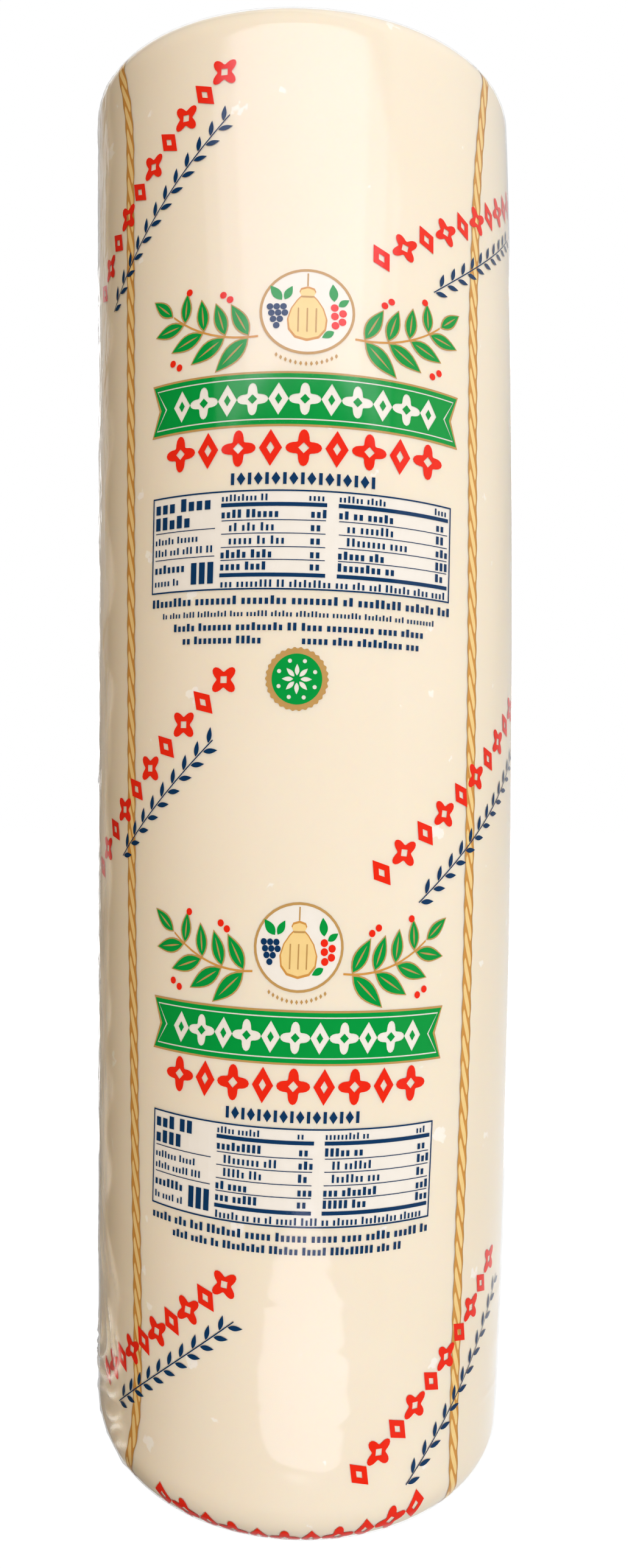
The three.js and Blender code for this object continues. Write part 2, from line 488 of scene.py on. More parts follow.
def rolled_skin(name, columns, rows, lift_of, gathered):
    """A flat grid rolled round the log and drawn in at both ends, closed at the join. Its
    columns crowd together down the side where the film is slack."""
    deselect_all()
    bpy.ops.mesh.primitive_grid_add(x_subdivisions=columns, y_subdivisions=rows, size=1)
    piece = bpy.context.active_object
    piece.name = name
    flat = points_of(piece) + 0.5
    turn = 2 * math.pi * flat[:, 0]
    azimuth = MESH_SIDE + turn - MESH_CROWDING * np.sin(turn)
    v = unrolled(flat[:, 1], azimuth)
    move_points(piece, skin(azimuth, v, lift_of(azimuth, v), gathered))
    set_amount(piece, "haze_and_painted_highlight", haze_and_painted_highlight(azimuth, v))
    set_amount(piece, "slack", slack(azimuth, v) * (1 - 0.8 * low_down(v)))
    pick(piece)
    bpy.ops.object.mode_set(mode="EDIT")
    bpy.ops.mesh.select_all(action="SELECT")
    bpy.ops.mesh.remove_doubles(threshold=0.001 * MM)
    bpy.ops.mesh.normals_make_consistent(inside=False)
    bpy.ops.object.mode_set(mode="OBJECT")
    bpy.ops.object.shade_smooth()
    return piece


# The inks: how far each lies off the face, its full colour, and where it is thinner
INKS = {
    "white": (WHITE_LIFT, "F0EBE2", "EAE4D8"),
    "rope_dark": (ROPE_DARK_LIFT, "D49A4C", "C88D42"),
    "rope_light": (ROPE_LIGHT_LIFT, "F3D695", "EBCB85"),
    "gold": (GOLD_LIFT, "C49C5E", "B78E52"),
    "green": (GREEN_LIFT, "009A3E", "00913C"),
    "red": (RED_LIFT, "EC2A12", "E62610"),
    "navy": (NAVY_LIFT, "06315A", "0A3760"),
}

# The print, drawn flat: x runs round the log from the middle of the front, y is v
drawing = {ink: [] for ink in INKS}


def draw(ink, outline, at=(0, 0), angle=0.0, stretch=1.0):
    """Adds one closed outline to an ink. An outline inside another of its ink is a hole."""
    shape = np.array(outline, float)
    shape[:, 0] *= stretch
    c, s = math.cos(math.radians(angle)), math.sin(math.radians(angle))
    turned = shape @ np.array([[c, s], [-s, c]])
    drawing[ink].append(turned + np.array(at))


def box(x0, x1, y0, y1):
    return np.array([(x0, y0), (x1, y0), (x1, y1), (x0, y1)], float)


def oval(x, y, rx, ry, steps=40):
    turn = np.linspace(0, 2 * math.pi, steps, endpoint=False)
    return np.stack([x + rx * np.cos(turn), y + ry * np.sin(turn)], axis=1)


def lozenge(x, y, width, height):
    return oval(x, y, width / 2, height / 2, 4)


def quatrefoil(x, y, size, steps=40):
    turn = np.linspace(0, 2 * math.pi, steps, endpoint=False)
    reach = size / 2 * (0.74 + 0.26 * np.cos(4 * turn))
    return np.stack([x + reach * np.cos(turn), y + reach * np.sin(turn)], axis=1)


def leaf(x, y, length, width, angle):
    """A pointed leaf from its stalk end at x, y."""
    along = np.linspace(0, 1, 9)
    bulge = width / 2 * np.sin(math.pi * along**0.85)
    upper = np.stack([along * length, bulge], axis=1)
    lower = np.stack([along * length, -bulge], axis=1)[-2:0:-1]
    outline = np.concatenate([upper, lower])
    c, s = math.cos(math.radians(angle)), math.sin(math.radians(angle))
    return outline @ np.array([[c, s], [-s, c]]) + np.array([x, y])


def swallow_tail(middle, width, height, notch, grow=0.0):
    """A banner cut to a notch at both ends, grown all round by grow."""
    x, y = width / 2 + grow, height / 2 + grow
    deep = notch - grow * 0.4
    outline = [(-x, -y), (x, -y), (x - deep, 0), (x, y), (-x, y), (-x + deep, 0)]
    return np.array(outline, float) + np.array([0, middle])


# Sizes of the printed label, whose x and y are 0 in its middle, a little above its table
LABEL_WIDTH = 88
BANNER_Y = 9.9
BANNER_HEIGHT = 13.0
BANNER_NOTCH = 2.8
EMBLEM_Y = 33
EMBLEM_RX = 12.4
EMBLEM_RY = 11.6
RED_ROW_Y = -2.6
RED_ROW_LENGTH = 77
RED_ROW_HEIGHT = 9.4
RED_ROW_COUNT = 9
DASH_ROW_Y = -10.4
DASH_COUNT = 17
DASH_PITCH = 2.3
TABLE_LEFT = -43.5
TABLE_RIGHT = 42.5
TABLE_TOP = -13.3
TABLE_BOTTOM = -38.8
TABLE_SPLITS = (-22.0, 8.2)
TABLE_ROWS = (-19.3, -22.7, -26.1, -29.6, -32.7)
HEAVY_RULES = (-17.0, -35.0)
RULE = 0.22
FRAME_RULE = 0.4
BRANCH = ((12.6, 26.4), (26.0, 25.2), (37.5, 34.5))   # foot, elbow and tip of its stem
BRANCH_PAIRS = 4
BRANCH_LEAF = 11.6
BRANCH_LEANS = ((-42, 1.0), (62, 0.82))   # degrees from stem to leaf, and share of length
BERRIES = ((20.4, 36.8), (22.3, 38.2), (35.2, 20.4), (37.4, 21.8), (32.4, 40.4))
SEAL_Y = -61.5
SEAL_RADIUS = 6.5
SEAL_RIM = 8.0
words_drawn = np.random.default_rng(7)


class Label:
    """One printed label: draws in its own millimetres, bent, turned and stretched on the
    film. bend lifts what is far from the middle, as bend times the distance squared."""

    def __init__(self, u, v, angle, stretch, bend=0.0):
        self.place = {"at": (u, v), "angle": angle, "stretch": stretch}
        self.bend = bend

    def draw(self, ink, outline):
        shape = np.array(outline, float)
        shape[:, 1] += self.bend * shape[:, 0] ** 2
        draw(ink, shape, **self.place)


def ornament_row(pen, ink, length, y, height, count):
    """Open quatrefoils and open lozenges in turn, close together."""
    pitch = length / count
    for i in range(count):
        x = (i - (count - 1) / 2) * pitch
        if i % 2 == (count // 2) % 2:
            pen(ink, quatrefoil(x, y, height))
            pen(ink, lozenge(x, y, height * 0.3, height * 0.3))
        else:
            pen(ink, lozenge(x, y, height * 0.64, height))
            pen(ink, lozenge(x, y, height * 0.22, height * 0.34))


def vine(pen, ink, length, y, leaf_length, leaf_width):
    """A thin stem with small leaves that lean to either side in turn."""
    pen(ink, box(-length / 2, length / 2, y - 0.16, y + 0.16))
    pitch = leaf_length * 0.62
    for i in range(round(length / pitch)):
        x = -length / 2 + pitch * (i + 0.2)
        side = 1 if i % 2 else -1
        pen(ink, leaf(x, y + side * 0.32, leaf_length, leaf_width, side * 38))


def word_blocks(pen, x0, x1, y, height, longest=8, weight=0.3):
    """A line of text as plain blocks that stand for it: seeded words of short and tall blocks,
    each weight times the height wide, with spaces between."""
    x, foot = x0, y - height / 2
    width, gap = height * weight, height * (0.5 - 0.5 * weight)
    while x < x1 - 2 * (width + gap):
        for _ in range(words_drawn.integers(2, longest + 1)):
            if x + width > x1:
                break
            tall = height if words_drawn.random() < 0.35 else height * 0.72
            pen("navy", box(x, x + width, foot, foot + tall))
            x += width + gap
        x += height * 0.4


def table_column(pen, x0, x1):
    """A heading, then rows of a name and a share with a thin rule under each."""
    word_blocks(pen, x0 + 0.8, x0 + 14, -15.2, 1.7, 9)
    word_blocks(pen, x1 - 5.2, x1 - 0.6, -15.2, 1.7, 4)
    for y in HEAVY_RULES:
        pen("navy", box(x0 + 0.6, x1 - 0.6, y - 0.5, y + 0.5))
    for i, y in enumerate(TABLE_ROWS):
        inset = 3.0 if i in (1, 2) else 0.8
        weight = 0.3 if i in (1, 2) else 0.42
        reach = words_drawn.uniform(12, 17)
        word_blocks(pen, x0 + inset, x0 + inset + reach, y, 2.1, 9, weight)
        word_blocks(pen, x1 - 4.6, x1 - 0.7, y, 2.1, 4, 0.42)
        if i < len(TABLE_ROWS) - 1:
            under = (y + TABLE_ROWS[i + 1]) / 2
            pen("navy", box(x0 + 0.8, x1 - 0.8, under - RULE / 2, under + RULE / 2))


def table(pen):
    """A plain data table: a pale panel with a dark frame, heavy and thin rules, and blocks
    for its words and figures."""
    left, right = TABLE_SPLITS
    pen("white", box(TABLE_LEFT, TABLE_RIGHT, TABLE_BOTTOM, TABLE_TOP))
    pen("navy", box(TABLE_LEFT, TABLE_RIGHT, TABLE_BOTTOM, TABLE_TOP))
    pen("navy", box(TABLE_LEFT + FRAME_RULE, TABLE_RIGHT - FRAME_RULE,
                    TABLE_BOTTOM + FRAME_RULE, TABLE_TOP - FRAME_RULE))
    table_column(pen, left, right - 1.2)
    table_column(pen, right + 0.6, TABLE_RIGHT - FRAME_RULE)
    word_blocks(pen, left + 1, TABLE_RIGHT - 1.5, -37.2, 1.9, 9)
    x0, x1 = TABLE_LEFT + 1.2, left - 1.0
    word_blocks(pen, x0, x1, -16.1, 3.3, 9, 0.5)
    word_blocks(pen, x0, x0 + 12, -20.3, 3.3, 5, 0.5)
    word_blocks(pen, x0, x1 - 5, -25.0, 1.8)
    word_blocks(pen, x0, x1, -28.0, 1.8)
    for y in (-22.8, -29.9):
        pen("navy", box(x0, x1, y - RULE / 2, y + RULE / 2))
    word_blocks(pen, x0, x0 + 11, -32.4, 2.2, 9, 0.4)
    word_blocks(pen, x0, x0 + 11, -36.0, 1.8)
    for i in range(3):
        x = x1 - 6.9 + 2.5 * i
        pen("navy", box(x, x + 1.7, -37.0, -31.4))


def emblem(pen):
    """A gold ring round a pale field with a pear-shaped cheese hung by its cord, dark grapes
    at one side of it and red berries at the other, and a leafy branch to each side."""
    pen("gold", oval(0, EMBLEM_Y, EMBLEM_RX, EMBLEM_RY))
    pen("gold", oval(0, EMBLEM_Y, EMBLEM_RX - 0.7, EMBLEM_RY - 0.7))
    pen("white", oval(0, EMBLEM_Y, EMBLEM_RX - 0.3, EMBLEM_RY - 0.3))
    heights = (-7.4, -6.6, -4.6, -2.0, 0.8, 3.0, 4.0, 4.9, 5.8, 6.3)
    halves = (0.0, 2.9, 4.5, 4.8, 3.9, 2.4, 1.4, 2.0, 1.6, 0.0)
    for ink, grow in (("rope_dark", 1.09), ("rope_light", 1.0)):
        side = [(w * grow, EMBLEM_Y + h * grow) for w, h in zip(halves, heights)]
        back = [(-x, y) for x, y in side[-2:0:-1]]
        pen(ink, side + back)
    for x in (-2.3, 0, 2.3):
        pen("gold", box(x - 0.2, x + 0.2, EMBLEM_Y - 5.6, EMBLEM_Y + 0.9))
    pen("gold", box(-1.5, 1.5, EMBLEM_Y + 3.7, EMBLEM_Y + 4.2))
    pen("gold", box(-0.2, 0.2, EMBLEM_Y + 6.9, EMBLEM_Y + 10.4))
    for row, count in enumerate((3, 3, 2, 1)):
        for i in range(count):
            x = -7.9 + (i - (count - 1) / 2) * 1.75 + (0.4 if row == 1 else 0)
            pen("navy", oval(x, EMBLEM_Y + 1.2 - 1.7 * row, 0.86, 0.86, 16))
    for x, y in ((7.1, -1.0), (9.2, -0.1), (7.3, -3.5), (9.1, -2.4), (7.0, 1.3)):
        pen("red", oval(x, EMBLEM_Y + y, 1.02, 1.02, 16))
    pen("green", leaf(-6.6, EMBLEM_Y + 3.0, 5.0, 2.4, 128))
    pen("green", leaf(-5.9, EMBLEM_Y + 3.1, 4.2, 2.0, 62))
    pen("green", leaf(6.9, EMBLEM_Y + 3.0, 4.8, 2.3, 96))
    pen("green", leaf(8.0, EMBLEM_Y + 1.8, 3.4, 1.8, 36))
    pen("green", leaf(7.0, EMBLEM_Y - 5.2, 3.6, 1.9, -150))
    for i in range(13):
        along = math.radians(-90 + 5.6 * (i - 6))
        x, y = (EMBLEM_RY + 2.4) * math.cos(along), EMBLEM_Y + (EMBLEM_RY + 2.4) * math.sin(along)
        pen("gold", lozenge(x, y, 0.8, 1.3))
    for side in (-1, 1):
        branch(pen, side)
        for x, y in BERRIES:
            pen("red", oval(side * x, y, 0.95, 0.95, 16))


def branch(pen, side):
    """A bent branch to one side, with leaves in pairs and one at its tip."""
    foot, elbow, tip = (np.array(point) for point in BRANCH)

    def along_stem(share):
        middle = foot * (1 - share) ** 2 + elbow * 2 * share * (1 - share) + tip * share**2
        way = (elbow - foot) * (1 - share) + (tip - elbow) * share
        return middle, math.degrees(math.atan2(way[1], way[0]))

    stem = [along_stem(share)[0] for share in np.linspace(0, 1, 13)]
    upper = [(side * x, y + 0.28) for x, y in stem]
    lower = [(side * x, y - 0.28) for x, y in stem[::-1]]
    pen("rope_dark", upper + lower)
    for i in range(BRANCH_PAIRS):
        (x, y), lean = along_stem((i + 0.35) / BRANCH_PAIRS)
        length = BRANCH_LEAF * (1 - 0.07 * i)
        for turn, share in BRANCH_LEANS:
            broad_leaf(pen, side, x, y, length * share, lean + turn)
    (x, y), lean = along_stem(1.0)
    broad_leaf(pen, side, x, y, BRANCH_LEAF * 0.7, lean)


def broad_leaf(pen, side, x, y, length, angle):
    """A broad green leaf edged in gold, with a gold vein that shows through a slit, or its
    mirror image to the left."""
    if side < 0:
        x, angle = -x, 180 - angle
    c, s = math.cos(math.radians(angle)), math.sin(math.radians(angle))
    x, y = x + 0.7 * c, y + 0.7 * s
    width = length * 0.37
    pen("gold", leaf(x - 0.5 * c, y - 0.5 * s, length + 1.0, width + 0.8, angle))
    pen("green", leaf(x, y, length, width, angle))
    pen("green", leaf(x + 0.12 * length * c, y + 0.12 * length * s, length * 0.7, 0.5, angle))


def banner(pen):
    """A green swallow-tail with a gold edge, and a pale line and ornaments left open in it."""
    outline = (BANNER_Y, LABEL_WIDTH, BANNER_HEIGHT, BANNER_NOTCH)
    pen("gold", swallow_tail(*outline, 0.55))
    pen("gold", swallow_tail(*outline, -0.15))
    pen("white", swallow_tail(*outline, -0.3))
    pen("green", swallow_tail(*outline))
    pen("green", swallow_tail(*outline, -1.1))
    pen("green", swallow_tail(*outline, -1.45))
    ornament_row(pen, "green", LABEL_WIDTH - 13, BANNER_Y, BANNER_HEIGHT * 0.64, 11)


def seal(pen):
    """A round green seal with a broad scalloped gold rim and an open rosette."""
    turn = np.linspace(0, 2 * math.pi, 180, endpoint=False)
    reach = SEAL_RIM + 0.2 * np.cos(30 * turn)
    rim = np.stack([reach * np.cos(turn), SEAL_Y + reach * np.sin(turn)], axis=1)
    pen("gold", rim)
    pen("gold", oval(0, SEAL_Y, SEAL_RADIUS - 0.2, SEAL_RADIUS - 0.2, 60))
    pen("white", oval(0, SEAL_Y, SEAL_RADIUS - 0.4, SEAL_RADIUS - 0.4, 60))
    pen("green", oval(0, SEAL_Y, SEAL_RADIUS, SEAL_RADIUS, 60))
    for i in range(8):
        along = 2 * math.pi * i / 8
        x, y = 0.9 * math.cos(along), SEAL_Y + 0.9 * math.sin(along)
        pen("green", leaf(x, y, 3.0, 1.2, math.degrees(along)))
        x, y = 5.0 * math.cos(along + 0.39), SEAL_Y + 5.0 * math.sin(along + 0.39)
        pen("green", oval(x, y, 0.55, 0.55, 12))


def draw_label(u, v, stretch, with_seal):
    """One label from top to bottom: emblem, banner, red row, dashes, table, lines, seal."""
    pen = Label(u, v, LABEL_TURN, stretch).draw
    emblem(pen)
    banner(pen)
    ornament_row(pen, "red", RED_ROW_LENGTH, RED_ROW_Y, RED_ROW_HEIGHT, RED_ROW_COUNT)
    for i in range(DASH_COUNT):
        x = (i - DASH_COUNT // 2) * DASH_PITCH
        if i % 2:
            pen("navy", lozenge(x, DASH_ROW_Y, DASH_PITCH, 3.3))
        else:
            pen("navy", box(x - 0.45, x + 0.45, DASH_ROW_Y - 1.5, DASH_ROW_Y + 1.5))
    table(pen)
    word_blocks(pen, -43, 43, -41.4, 2.2, 9, 0.4)
    if with_seal:
        word_blocks(pen, -39, 39, -44.9, 1.5, 9)
        word_blocks(pen, -35, 35, -48.2, 2.0, 9, 0.42)
        word_blocks(pen, -32, -6, -51.6, 2.0, 9, 0.42)
        word_blocks(pen, 1, 33, -51.6, 2.0, 9, 0.42)
        seal(pen)
    else:
        word_blocks(pen, -35, 34, -44.8, 2.0, 9, 0.42)


# Sloping rows in the columns to either side of the label: the middles of the first and last
# red ornaments, and the ends of the vine under them
SLOPING_ROWS = (((-72.9, 343.5), (-20.4, 390.5), (-64.2, 335.0), (-19.0, 378.5)),
                ((20.7, 338.8), (82.1, 376.2), (36.6, 332.5), (79.9, 364.5)),
                ((-75.4, 177.0), (-21.2, 228.0), (-58.4, 181.2), (-24.3, 212.5)),
                ((20.7, 178.2), (79.0, 223.0), (31.8, 170.0), (83.5, 211.0)),
                ((-69.5, 32.5), (-20.1, 71.5), (-60.3, 28.0), (-17.3, 62.2)),
                ((17.6, 22.2), (67.3, 65.5), (32.0, 16.0), (75.4, 58.2)))
SLOPE_HEIGHT = 8.4
SLOPE_COUNT = 10


def sloping_pen(start, end, shift):
    """A pen whose x runs from start to end, and how far that is."""
    du, dv = end[0] - start[0], end[1] - start[1]
    middle = (start[0] + du / 2 + shift, start[1] + dv / 2)
    return Label(*middle, math.degrees(math.atan2(dv, du)), 1.0).draw, math.hypot(du, dv)


def draw_sloping_row(first, last, vine_start, vine_end, shift):
    pen, length = sloping_pen(first, last, shift)
    whole = length * SLOPE_COUNT / (SLOPE_COUNT - 1)
    ornament_row(pen, "red", whole, 0, SLOPE_HEIGHT, SLOPE_COUNT)
    pen, length = sloping_pen(vine_start, vine_end, shift)
    vine(pen, "navy", length, 0, 4.2, 1.4)


# Twisted cord, printed: two strands that lean the same way all along. Its course is points
# of v and u, smoothed over COURSE_EASE to either side.
ROPE_PITCH = 7.0
ROPE_HALF = 1.8
STRAND_HALF = 4.9
STRAND_LEAN = 1.05
COURSE_EASE = 9.0
ROPE_FOOT = -24                       # in the gathers of the base
ROPE_HEAD = HEIGHT + 38               # and of the top
ROPE_LEFT = ((-6, -66.0), (3, -61.0), (12, -55.6), (22, -51.6), (33, -50.2), (66, -50.6),
             (99, -51.9), (132, -52.6), (166, -53.7), (249, -54.2), (386, -54.4),
             (398, -57.5), (415, -64.5))
ROPE_RIGHT = ((-6, 52.0), (14, 50.4), (33, 49.6), (66, 49.3), (133, 50.1), (232, 51.0),
              (299, 51.4), (334, 52.2), (371, 55.3), (391, 58.9), (407, 63.0), (418, 67.0))


def rope_course(points, y):
    """Where round the log the cord runs at height y."""
    v, u = zip(*points)
    steps = np.linspace(-COURSE_EASE, COURSE_EASE, 9)
    return np.mean([np.interp(y + step, v, u) for step in steps], axis=0)


def ribbon_outline(middle, v, half):
    left = np.stack([middle - half, v], axis=1)
    right = np.stack([middle + half, v], axis=1)
    return np.concatenate([right, left[::-1]])


def draw_rope(points, shift):
    v = np.arange(ROPE_FOOT, ROPE_HEAD, ROPE_PITCH / 8)
    middle = rope_course(points, v) + shift
    swell = ROPE_HALF + 0.16 * np.cos(2 * math.pi * v / ROPE_PITCH)
    draw("rope_dark", ribbon_outline(middle, v, swell))
    for side in (-1, 1):
        draw("gold", ribbon_outline(middle + side * swell, v, 0.14))
    along = np.linspace(-1, 1, 13)
    half = 0.84 * (1 - along**2) ** 0.6
    for height in np.arange(ROPE_FOOT + 5, ROPE_HEAD - 4, ROPE_PITCH):
        y = height + STRAND_HALF * along
        x = rope_course(points, y) + shift - STRAND_LEAN * np.sin(along * math.pi / 2)
        outer = np.stack([x + half, y], axis=1)
        inner = np.stack([x - half, y], axis=1)[-2:0:-1]
        draw("rope_light", np.concatenate([outer, inner]))


# The two labels: u and v of their middles, their stretch, and whether they end in a seal
LABELS = ((0, 289.3, 1.0, True), (-2, 126.4, 0.94, False))
LABEL_TURN = -1.7                     # degrees
LOW_ROW_MIDDLE = (-2.5, 3.0)
LOW_ROW_BEND = 0.0042                 # the film's base is gathered, so the lowest row bends
LOW_ROW_LENGTH = 84
LOW_ROW_HEIGHT = 9.2
LOW_ROW_COUNT = 11


def draw_print():
    """The whole print, which repeats after half a turn."""
    for shift in (0, HALF_TURN):
        for u, v, stretch, with_seal in LABELS:
            draw_label(u + shift, v, stretch, with_seal)
        for ends in SLOPING_ROWS:
            draw_sloping_row(*ends, shift)
        u, v = LOW_ROW_MIDDLE
        low_row = Label(u + shift, v, 0.0, 1.0, LOW_ROW_BEND)
        ornament_row(low_row.draw, "red", LOW_ROW_LENGTH, 0, LOW_ROW_HEIGHT, LOW_ROW_COUNT)
        draw_rope(ROPE_LEFT, shift)
        draw_rope(ROPE_RIGHT, shift)


# Where flat shapes are cut so that they can bend: strips round the log, and rows that are
# close together over the rim
CUT_ROUND = 3.0
CUT_RIM = 1.2
CUT_WALL = 9.0
RIM_REACH = 17


def cut_flat(places, direction):
    """Cuts the flat shape that is being edited at each place along a direction."""
    for place in places:
        bpy.ops.mesh.select_all(action="SELECT")
        bpy.ops.mesh.bisect(plane_co=[place * d for d in direction], plane_no=direction)


def print_layer(ink):
    """All of one ink: flat filled curves, cut in strips, rolled on the film and thickened."""
    lift, full_hex, thin_hex = INKS[ink]
    curve = bpy.data.curves.new("print_" + ink, "CURVE")
    curve.dimensions = "2D"
    curve.fill_mode = "BOTH"
    for outline in drawing[ink]:
        spline = curve.splines.new("POLY")
        spline.points.add(len(outline) - 1)
        flat = np.zeros((len(outline), 4))
        flat[:, :2] = outline
        flat[:, 3] = 1
        spline.points.foreach_set("co", flat.ravel())
        spline.use_cyclic_u = True
    piece = bpy.data.objects.new("print_" + ink, curve)
    bpy.context.collection.objects.link(piece)
    pick(piece)
    bpy.ops.object.convert(target="MESH")
    piece = bpy.context.active_object
    bpy.ops.object.mode_set(mode="EDIT")
    flat = np.concatenate(drawing[ink])
    low, high = flat.min(axis=0), flat.max(axis=0)
    cut_flat(np.arange(low[0] + CUT_ROUND / 2, high[0], CUT_ROUND), (1, 0, 0))
    if low[1] < RIM_REACH:
        cut_flat(np.arange(low[1] + CUT_RIM / 2, RIM_REACH, CUT_RIM), (0, 1, 0))
    cut_flat(np.arange(RIM_REACH, high[1], CUT_WALL), (0, 1, 0))
    bpy.ops.object.mode_set(mode="OBJECT")
    flat = points_of(piece)
    move_points(piece, skin(flat[:, 0] / RADIUS, flat[:, 1], lift))
    thick = piece.modifiers.new("thickness", "SOLIDIFY")
    thick.thickness = INK_THICKNESS * MM
    thick.offset = -1
    bpy.ops.object.modifier_apply(modifier="thickness")
    dress(piece, flexo_ink("flexo_ink_" + ink, full_hex, thin_hex))


# The sealed tail of the bag, which lies across each end
TAIL_AZIMUTH = math.radians(102)
TAIL_WIDTH = 11
TAIL_THICKNESS = 0.12
TAIL_SWAY = 2.5
SEALED_HALF = 0.22                    # half of the heat seal's share of that width
RIB_PITCH = 1.8                       # from rib to rib of the heat seal
TOP_TAIL = 92
BASE_TAIL = 58


def film_tail(name, length, end_z, stand):
    """A strip of sealed film that lies in ripples on an end, stand millimetres out of it."""
    deselect_all()
    bpy.ops.mesh.primitive_grid_add(x_subdivisions=220, y_subdivisions=20, size=1)
    piece = bpy.context.active_object
    piece.name = name
    share, across = points_of(piece)[:, 0], points_of(piece)[:, 1]
    sealed = smoothstep((SEALED_HALF - np.abs(across)) / 0.06)
    side = across * TAIL_WIDTH * (1 - 0.55 * np.abs(2 * share) ** 3)
    side = side + TAIL_SWAY * np.sin(2 * math.pi * share + 0.5)
    c, s = math.sin(TAIL_AZIMUTH), -math.cos(TAIL_AZIMUTH)
    x = c * length * share - s * side
    y = s * length * share + c * side
    ripple = np.sin(length * share * 0.55 + 3 * np.sin(share * 11) + 2.5 * across)
    ribs = sealed * np.sin(2 * math.pi * length * share / RIB_PITCH)
    out = stand * (0.5 + 0.3 * ripple * np.abs(2 * across) + 0.1 * ribs)
    move_points(piece, np.stack([x, y, end_z(x, y) + out], axis=1) * MM)
    set_amount(piece, "haze_and_painted_highlight", 0.16 + 0.5 * sealed)
    set_amount(piece, "slack", np.full(len(x), 0.15))
    pick(piece)
    thick = piece.modifiers.new("thickness", "SOLIDIFY")
    thick.thickness = TAIL_THICKNESS * MM
    thick.offset = 0
    bpy.ops.object.modifier_apply(modifier="thickness")
    bpy.ops.object.shade_smooth()
    return piece


# The pieces
draw_print()
cheese = rolled_skin("cheese", 160, 180, lambda azimuth, v: CHEESE_LIFT, 0.0)
dress(cheese, provolone_cheese())
for ink in INKS:
    print_layer(ink)

clear_film = shrink_film()
film = rolled_skin("shrink_film", 296, 330,
                   lambda azimuth, v: FILM_LIFT + relief(azimuth, v), 1.0)
dress(film, clear_film)
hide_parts(LOG)
dress(film_tail("film_tail_top", TOP_TAIL,
                lambda x, y: HEIGHT + SLANT_X * x + SLANT_Y * y, 0.9),
      clear_film)
dress(film_tail("film_tail_base", BASE_TAIL, lambda x, y: DISH_DEPTH * 0.7, -0.9),
      clear_film)


# The stage, the lights and the camera
BACKDROP_TURN = (0.69, 0.72, 0.0)     # square to the pale backdrop's edge
PALEST_WAY = (0.35, 0.8, -0.49)
ROOM_TINT = (1.0, 0.84, 0.56, 1.0)
ROOM_STRENGTH = 0.27
WARM_TINT = (1.0, 0.58, 0.24)
KEY_TINT = (0.97, 0.985, 1.06)
SKY_TINT = (0.85, 0.82, 1.0)
OVERHEADS = ((2.2, 3.5), (1.75, 3.0), (1.25, 2.2))   # width and power of each
PHOTO_HEIGHT = 2576
FOCAL_PIXELS = 1736
SENSOR = 36.0
CAMERA_PLACE = (2.5 * MM, -5.2 * RADIUS * MM, 201.1 * MM)


def light_table():
    """A light table's opal sheet, which glows evenly, so that no shadow greys it."""
    made, tree, output, _ = new_material("lit_opal_sheet")
    lit = add_node(tree, "ShaderNodeBsdfPrincipled", {
        "Base Color": colour("303030"), "Roughness": 0.8, "Specular IOR Level": 0.0,
        "Emission Color": colour("FFFFFF"), "Emission Strength": 1.0})
    tree.links.new(lit.outputs["BSDF"], output.inputs["Surface"])
    return made


def softbox(name, place, aim, size, power, matt=True, gloss=True, shape="RECTANGLE",
            tint=(1.0, 1.0, 1.0), only=None):
    """A soft light of a size, from a place towards another. matt and gloss say whether it
    lights matt surfaces and whether it shows in glossy ones, and only is the one piece that
    it lights, if not all of them."""
    lamp = bpy.data.lights.new(name, "AREA")
    lamp.shape = shape
    lamp.size, lamp.size_y = size
    lamp.energy = power
    lamp.color = tint
    held = bpy.data.objects.new(name, lamp)
    held.location = place
    held.rotation_euler = (Vector(aim) - Vector(place)).to_track_quat("-Z", "Y").to_euler()
    held.visible_camera = False
    held.visible_diffuse = matt
    held.visible_glossy = gloss
    bpy.context.collection.objects.link(held)
    if only:
        lit = bpy.data.collections.new("lit_by_" + name)
        lit.objects.link(only)
        held.light_linking.receiver_collection = lit


def round_the_log(azimuth, away, height):
    turn = math.radians(azimuth)
    return (away * math.sin(turn), -away * math.cos(turn), height)


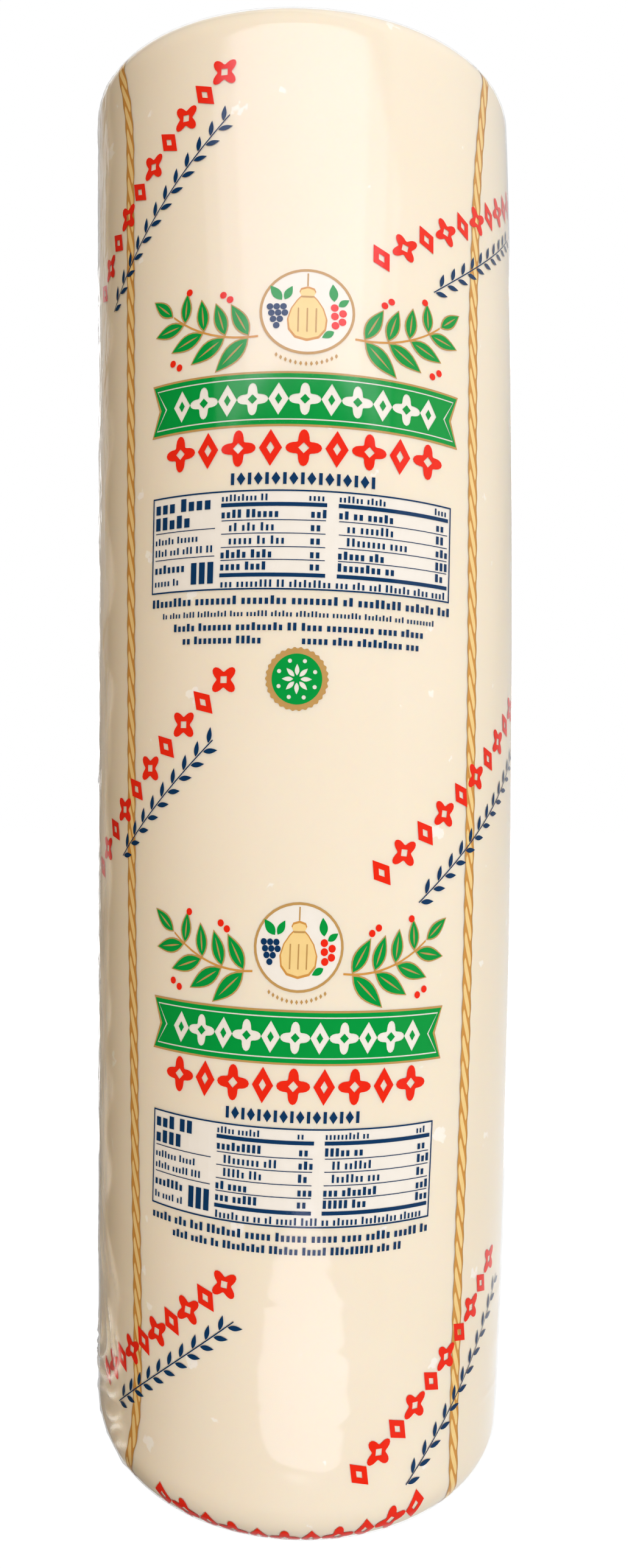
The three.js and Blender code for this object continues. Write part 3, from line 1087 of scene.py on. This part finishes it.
def pale_world():
    """White behind the log, a dim warm room for matt surfaces, and for glossy ones a room that
    is dark in front and pale behind, with an edge at the left, and palest low down at the
    right."""
    world = bpy.data.worlds.new("pale_room")
    world.use_nodes = True
    tree = world.node_tree
    tree.nodes.clear()
    path = add_node(tree, "ShaderNodeLightPath")
    towards = add_node(tree, "ShaderNodeTexCoord")
    split = add_node(tree, "ShaderNodeSeparateXYZ", {"Vector": towards.outputs["Generated"]})
    sweep = add_node(tree, "ShaderNodeVectorMath",
                     {0: towards.outputs["Generated"], 1: BACKDROP_TURN},
                     operation="DOT_PRODUCT")
    edge = add_node(tree, "ShaderNodeMapRange",
                    {"Value": sweep.outputs["Value"], "From Min": -0.02, "From Max": 0.05},
                    interpolation_type="SMOOTHSTEP")
    rise = add_node(tree, "ShaderNodeMapRange",
                    {"Value": split.outputs["Z"], "From Min": 0.0, "From Max": 0.4,
                     "To Min": 0.17, "To Max": 0.6})
    palest_way = add_node(tree, "ShaderNodeVectorMath",
                          {0: towards.outputs["Generated"], 1: PALEST_WAY},
                          operation="DOT_PRODUCT")
    palest = add_node(tree, "ShaderNodeMapRange",
                      {"Value": palest_way.outputs["Value"], "From Min": 0.7,
                       "From Max": 1.0, "To Min": 0.02, "To Max": 0.85})
    sides = add_node(tree, "ShaderNodeMath",
                     {0: edge.outputs[0], 1: rise.outputs[0], 2: palest.outputs[0]},
                     operation="MULTIPLY_ADD")
    mirrored = add_node(tree, "ShaderNodeBackground",
                        {"Color": colour("FFFFFF"), "Strength": sides.outputs[0]})
    room = add_node(tree, "ShaderNodeBackground",
                    {"Color": ROOM_TINT, "Strength": ROOM_STRENGTH})
    behind = add_node(tree, "ShaderNodeBackground",
                      {"Color": colour("FFFFFF"), "Strength": 1.0})
    glossy = add_node(tree, "ShaderNodeMixShader",
                      {0: path.outputs["Is Glossy Ray"], 1: room.outputs[0],
                       2: mirrored.outputs[0]})
    shown = add_node(tree, "ShaderNodeMixShader",
                     {0: path.outputs["Is Camera Ray"], 1: glossy.outputs[0],
                      2: behind.outputs[0]})
    add_node(tree, "ShaderNodeOutputWorld", {"Surface": shown.outputs[0]})
    bpy.context.scene.world = world


deselect_all()
bpy.ops.mesh.primitive_plane_add(size=8, location=(0, 0, 0))
floor = bpy.context.active_object
floor.name = "floor"
floor.data.materials.append(light_table())
floor.visible_diffuse = False
floor.visible_glossy = False
floor.visible_shadow = False

pale_world()
log_middle = (0, 0, HEIGHT / 2 * MM)
softbox("key", round_the_log(16, 1.3, 0.22), log_middle, (1.15, 1.5), 18.2, gloss=False,
        tint=KEY_TINT)
softbox("right", round_the_log(110, 1.3, 0.22), log_middle, (1.4, 1.4), 6.2, gloss=False)
softbox("warm_left", round_the_log(-72, 1.3, 0.25), log_middle, (1.0, 1.3), 2.3, gloss=False,
        tint=WARM_TINT)
softbox("back", round_the_log(180, 1.3, 0.3), log_middle, (1.2, 1.4), 12.0)
softbox("top", (0, 0, 1.5), log_middle, (1.4, 1.4), 10.0, gloss=False)
softbox("folds", round_the_log(-84, 0.36, 0.04), (0, 0, 0.03), (0.16, 0.12), 0.85, gloss=False,
        only=film)
for i, (width, power) in enumerate(OVERHEADS):
    softbox("overhead_" + str(i), round_the_log(-1, 1.0 + 0.01 * i, 0.95), (0, 0, 0.2),
            (width, 0.5), power, matt=False, tint=SKY_TINT)
softbox("low_window", (0.003, -0.179, 0.002), (0.003, -0.179, 1.0), (0.1, 0.182), 0.11,
        matt=False, shape="ELLIPSE", tint=SKY_TINT)

camera_data = bpy.data.cameras.new("camera")
camera_data.sensor_width = SENSOR
camera_data.lens = FOCAL_PIXELS / PHOTO_HEIGHT * SENSOR
camera = bpy.data.objects.new("camera", camera_data)
camera.location = CAMERA_PLACE
camera.rotation_euler = (math.pi / 2, 0, 0)
bpy.context.collection.objects.link(camera)
bpy.context.scene.camera = camera
bpy.context.scene.view_settings.view_transform = "Standard"
